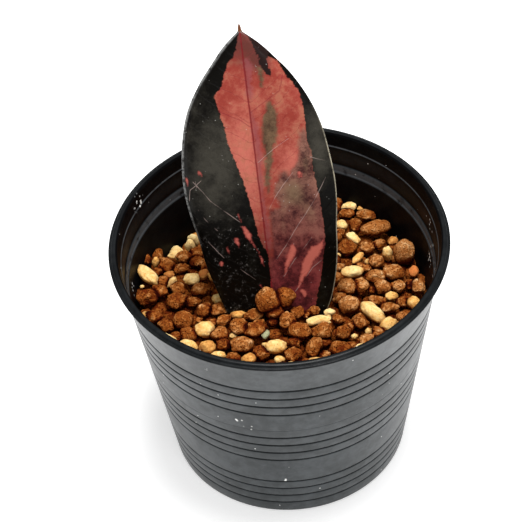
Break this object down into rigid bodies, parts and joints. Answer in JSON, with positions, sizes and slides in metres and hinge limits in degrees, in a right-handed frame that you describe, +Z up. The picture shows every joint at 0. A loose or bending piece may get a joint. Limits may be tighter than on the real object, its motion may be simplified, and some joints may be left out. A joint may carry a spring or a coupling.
{
  "type": "potted variegated zz leaf cutting",
  "caption": "Upright dark and pink variegated leaf cutting standing in granular mix in a black grooved nursery pot.",
  "frame": {"origin": "middle of the pot's base, on the plane that it stands on", "axes": "+Z up, the longest extent; the leaf's face looks towards -Y and it leans back towards +Y"},
  "size_m": [0.09, 0.09, 0.1329],
  "materials": {
    "pot_plastic": "black moulded polyethylene with a satin sheen, fine scuffs and dust",
    "clay_granules": "porous matt brown fired-clay granules, uneven in colour",
    "pumice_granules": "matt pale cream to yellow pumice granules, a few of them orange",
    "leaf_skin": "thick waxy leaf skin, glossy, near-black green with salmon pink and mauve patches"
  },
  "bodies": {
    "root": {"pot": "pot_plastic", "soil_mix": "clay_granules", "leaf": "leaf_skin"}
  },
  "joints": []
}
